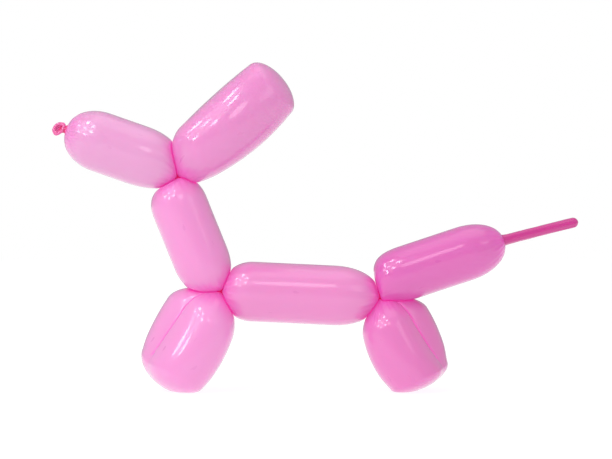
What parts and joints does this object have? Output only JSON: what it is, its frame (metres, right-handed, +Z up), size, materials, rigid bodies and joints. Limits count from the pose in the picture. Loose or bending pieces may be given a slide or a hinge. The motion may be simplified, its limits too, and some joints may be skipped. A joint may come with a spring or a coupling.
{
  "type": "balloon dog",
  "caption": "Standing dog twisted from a long balloon: round nose, neck, body and tail bubbles, folded loops as ears and legs, a knotted mouth at the nose and a thin, uninflated tail tip.",
  "frame": {"origin": "on the ground, under the middle of the dog's length and width", "axes": "+X from the nose towards the tail, +Y towards the dog's right side, +Z up; the picture's camera looks along +Y"},
  "size_m": [0.4384, 0.0774, 0.2741],
  "materials": {
    "pink_latex": "glossy, milky pink latex, paler where it is stretched and deeper at the twists and the tail tip"
  },
  "bodies": {
    "root": {"balloon_dog": "pink_latex"}
  },
  "joints": []
}
